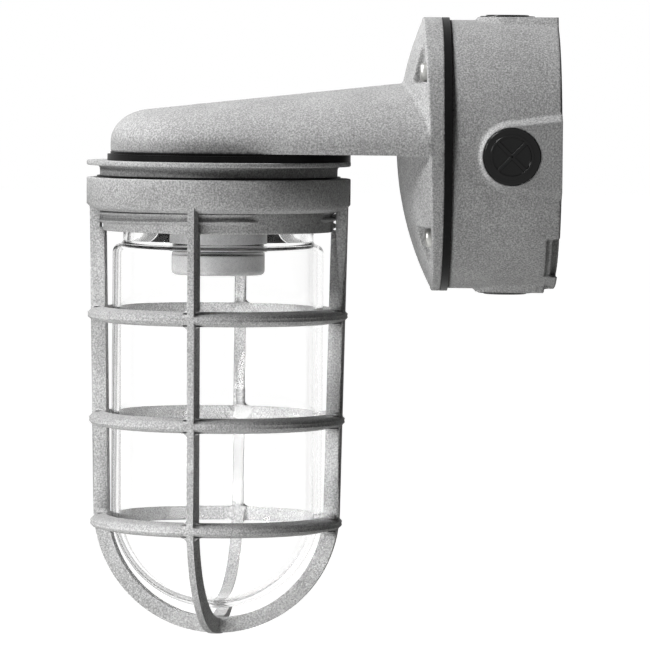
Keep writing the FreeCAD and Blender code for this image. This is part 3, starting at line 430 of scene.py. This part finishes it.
def softCasting(d):
    bm = mergedCopy(d["node"])
    mesh = bpy.data.meshes.new(d["name"] + "Rough")
    bm.to_mesh(mesh)
    bm.free()
    rough = bpy.data.objects.new(d["name"] + "Rough", mesh)
    bpy.context.scene.collection.objects.link(rough)
    skin = rough.modifiers.new("skin", "REMESH")
    skin.mode = "VOXEL"
    skin.voxel_size = d["voxelMm"] * mm
    addSmoothing(rough, d["passes"])
    settle(rough)
    markHollows(rough, d["voxelMm"] * mm)
    addSmoothing(rough, d["cornerPasses"], "corners")
    settle(rough)
    rough.vertex_groups.clear()
    triangles = len(rough.data.polygons) * 2
    if triangles > d["mostFaces"]:
        thin = rough.modifiers.new("thin", "DECIMATE")
        thin.ratio = d["mostFaces"] / triangles
    settle(rough)
    bm = bmesh.new()
    bm.from_mesh(rough.data)
    bpy.data.objects.remove(rough)
    print(d["name"], "from", triangles, "triangles")
    makePiece(d["name"], bm, bySlot["painted_casting"], d["body"], [d["node"]], scale=1)


def crispCasting(d):
    bm = mergedCopy(d["node"])
    bmesh.ops.recalc_face_normals(bm, faces=bm.faces[:])
    makePiece(d["name"], bm, bySlot["painted_casting"], d["body"], [d["node"]], scale=1,
              creaseAngle=d["creaseAngle"])


softCasting(softArm)
softCasting(softBox)
crispCasting(crispGuard)
print("castings placed")


# Lamp body: flange, neck, skirt and the coarse male thread for the guard
lampBody = {"top": -3.7, "topRound": 0.45, "flangeR": 56.1, "flangeThick": 2.0,
            "flangeRound": 0.55, "neckR": 50.5, "neckFillet": 1.7, "neckEnd": -10.1,
            "neckRound": 0.3, "rootR": 49.0, "rootFillet": 0.2, "crestR": 51.0,
            "skirtEnd": -33.5, "skirtRound": 0.6, "boreRound": 0.5, "plateUnder": -8.0,
            "plateFillet": 1.5, "boreR": 46.5, "ringTop": -21.0, "ringEnd": -25.0,
            "ringRound": 0.6, "jarBoreR": 42.2, "steps": 180, "creaseAngle": 40,
            "pitch": 3.175, "turns": 3.75, "startAngle": 90.0, "startHeight": -30.94,
            "baseWide": 2.55, "crestWide": 0.35, "threadSunk": 0.6, "flatSunk": 0.5,
            "flats": (22.0, 202.0), "flatAngle": 38.0, "fade": 9.0}


def threadShell(d):
    baseHalf, crestHalf = d["baseWide"] / 2, d["crestWide"] / 2
    sunkR = d["rootR"] - d["threadSunk"]
    section = [(sunkR, -baseHalf), (d["rootR"], -baseHalf), (d["crestR"], -crestHalf),
               (d["crestR"], crestHalf), (d["rootR"], baseHalf), (sunkR, baseHalf)]
    bm = bmesh.new()
    verts = [bm.verts.new((r, 0, z)) for r, z in section]
    face = bm.faces.new(verts)
    steps = int(d["steps"] * d["turns"])
    bmesh.ops.spin(bm, geom=[face] + face.edges[:] + verts, cent=(0, 0, 0), axis=(0, 0, 1),
                   dvec=(0, 0, d["pitch"] * d["turns"] / steps), angle=2 * pi * d["turns"],
                   steps=steps, use_merge=False, use_normal_flip=False, use_duplicate=False)
    turnShell(bm, d["startAngle"])
    bmesh.ops.translate(bm, verts=bm.verts[:], vec=(0, 0, d["startHeight"]))
    return bm


def cutFlats(bm, d):
    # The thread sinks into the skirt on two flat sides and comes up again beside them
    floorR = d["rootR"] - d["flatSunk"]
    for vert in bm.verts:
        angle = degrees(atan2(vert.co.y, vert.co.x)) % 360
        past = [(angle - start) % 360 for start in d["flats"]]
        away = min(min(a - d["flatAngle"], 360 - a) if a > d["flatAngle"] else 0 for a in past)
        r = vert.co.xy.length
        newR = min(r, floorR + (r - floorR) * min(1.0, away / d["fade"]))
        vert.co.xy = vert.co.xy * (newR / r)


def makeLampBody():
    d = lampBody
    under = d["top"] - d["flangeThick"]
    outline = [(0, d["top"]),
               (d["flangeR"], d["top"], d["topRound"]),
               (d["flangeR"], under, d["flangeRound"]),
               (d["neckR"], under, d["neckFillet"]),
               (d["neckR"], d["neckEnd"], d["neckRound"]),
               (d["rootR"], d["neckEnd"], d["rootFillet"]),
               (d["rootR"], d["skirtEnd"], d["skirtRound"]),
               (d["jarBoreR"], d["skirtEnd"], d["boreRound"]),
               (d["jarBoreR"], d["ringEnd"], d["ringRound"]),
               (d["boreR"], d["ringTop"], d["ringRound"]),
               (d["boreR"], d["plateUnder"], d["plateFillet"]),
               (0, d["plateUnder"])]
    bm = spunShell(outline, d["steps"])
    thread = threadShell(d)
    cutFlats(thread, d)
    tidyShell(thread)
    addShell(bm, thread)
    bmesh.ops.transform(bm, matrix=onLamp, verts=bm.verts[:])
    makePiece("lampBodyCasting", bm, bySlot["painted_casting"], "fixture", ["lamp_body"],
              creaseAngle=d["creaseAngle"])


makeLampBody()


# Globe: a pressed jar with a soft shoulder and a round end
globe = {"rim": -10.0, "neckR": 40.5, "neckFillet": 0.8, "wall": 3.0, "shoulder": -38.9,
         "shoulderRound": 3.6, "shoulderSlope": 1.2, "edgeRound": 0.4, "innerShoulder": 1.9,
         "innerRound": 0.9, "roundSteps": 8, "r": 44.9, "domeCentre": -149.3, "domeSteps": 28,
         "steps": 160, "cornerSteps": 3}


def globeHalf(d, inset, shoulder, soft):
    # Outline of the outer or the inner face, from the rim to the end
    side = d["r"] - inset
    half = [(d["neckR"] - inset, d["rim"]),
            (d["neckR"] - inset, shoulder + d["shoulderSlope"], d["neckFillet"]),
            (side - soft, shoulder, d["edgeRound"])]
    for step in range(1, d["roundSteps"] + 1):
        angle = pi / 2 * step / d["roundSteps"]
        half.append((side - soft + soft * sin(angle), shoulder - soft + soft * cos(angle)))
    for step in range(d["domeSteps"] + 1):
        angle = pi / 2 * step / d["domeSteps"]
        half.append((max(side * cos(angle), 0.0), d["domeCentre"] - side * sin(angle)))
    return half


def makeGlobe():
    d = globe
    outer = globeHalf(d, 0, d["shoulder"], d["shoulderRound"])
    inner = globeHalf(d, d["wall"], d["shoulder"] - d["innerShoulder"], d["innerRound"])
    bm = spunShell(outer + inner[::-1], d["steps"], d["cornerSteps"])
    bmesh.ops.transform(bm, matrix=onLamp, verts=bm.verts[:])
    jar = makePiece("jarGlobe", bm, bySlot["clear_glass"], "globe", ["glass_globe"])
    jar.visible_shadow = False   # lamps light the cage behind the glass


makeGlobe()
print("lamp body and globe made")


# Closure plugs: head, raised ring, and a dish crossed by two bars
closurePlug = {"headOver": 1.95, "headThick": 2.5, "headRound": 0.6, "ringIn": 2.65,
               "ringWide": 1.2, "ringTall": 0.5, "ringFoot": 0.12, "ringRound": 0.35,
               "dishDeep": 1.7, "dishFillet": 0.3, "threadLong": 9.0, "threadLess": 0.1,
               "threadRound": 0.8, "barWide": 1.7, "barRound": 0.5, "barProud": 0.25,
               "barLet": 0.2, "barSunk": 0.3, "barSteps": 4, "barAngles": (45, -45),
               "steps": 96, "creaseAngle": 50}


def plugBar(d, dishR, top, angle):
    # One bar of the cross, let into the dish's floor and the ring, with its upper edges rounded
    bar = bmesh.new()
    bmesh.ops.create_cube(bar, size=1.0)
    tall = d["dishDeep"] + d["barProud"] + d["barSunk"]
    bmesh.ops.scale(bar, vec=(2 * (dishR + d["barLet"]), d["barWide"], tall), verts=bar.verts)
    ridges = [e for e in bar.edges if all(v.co.z > 0 for v in e.verts)
              and abs(e.verts[0].co.y - e.verts[1].co.y) < d["barWide"] / 2]
    bmesh.ops.bevel(bar, geom=ridges, offset=d["barRound"], segments=d["barSteps"],
                    profile=0.5, affect="EDGES", material=-1)
    bmesh.ops.translate(bar, verts=bar.verts, vec=(0, 0, top + d["barProud"] - tall / 2))
    turnShell(bar, angle)
    return bar


def makePlug(side, toward):
    d = closurePlug
    low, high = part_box("closure_plug_" + side)
    toward = Vector(toward)
    headR = (high.y - low.y) / 2 / mm
    tip = (low + high) / 2 + toward * abs((high - low).dot(toward)) / 2
    ringR = headR - d["ringIn"]
    dishR = ringR - d["ringWide"]
    top = -d["ringTall"]
    floor = top - d["headThick"]
    end = floor - d["threadLong"]
    threadR = headR - d["headOver"] - d["threadLess"]
    bm = spunShell([(0, end), (threadR, end, d["threadRound"]), (threadR, floor),
                    (headR, floor), (headR, top, d["headRound"]),
                    (ringR, top, d["ringFoot"]), (ringR, 0, d["ringRound"]),
                    (dishR, 0, d["ringRound"]), (dishR, top - d["dishDeep"], d["dishFillet"]),
                    (0, top - d["dishDeep"])], d["steps"])
    for angle in d["barAngles"]:
        addShell(bm, plugBar(d, dishR, top, angle))
    place = Matrix.Translation(tip / mm) @ toward.to_track_quat("Z", "Y").to_matrix().to_4x4()
    bmesh.ops.transform(bm, matrix=place, verts=bm.verts[:])
    makePiece("closurePlug" + side.capitalize(), bm, bySlot["black_plug"], "fixture",
              ["closure_plug_" + side], creaseAngle=d["creaseAngle"])


for side, toward in (("near", (1, 0, 0)), ("top", (0, 0, 1)),
                     ("far", (-1, 0, 0)), ("bottom", (0, 0, -1))):
    makePlug(side, toward)
print("plugs made")
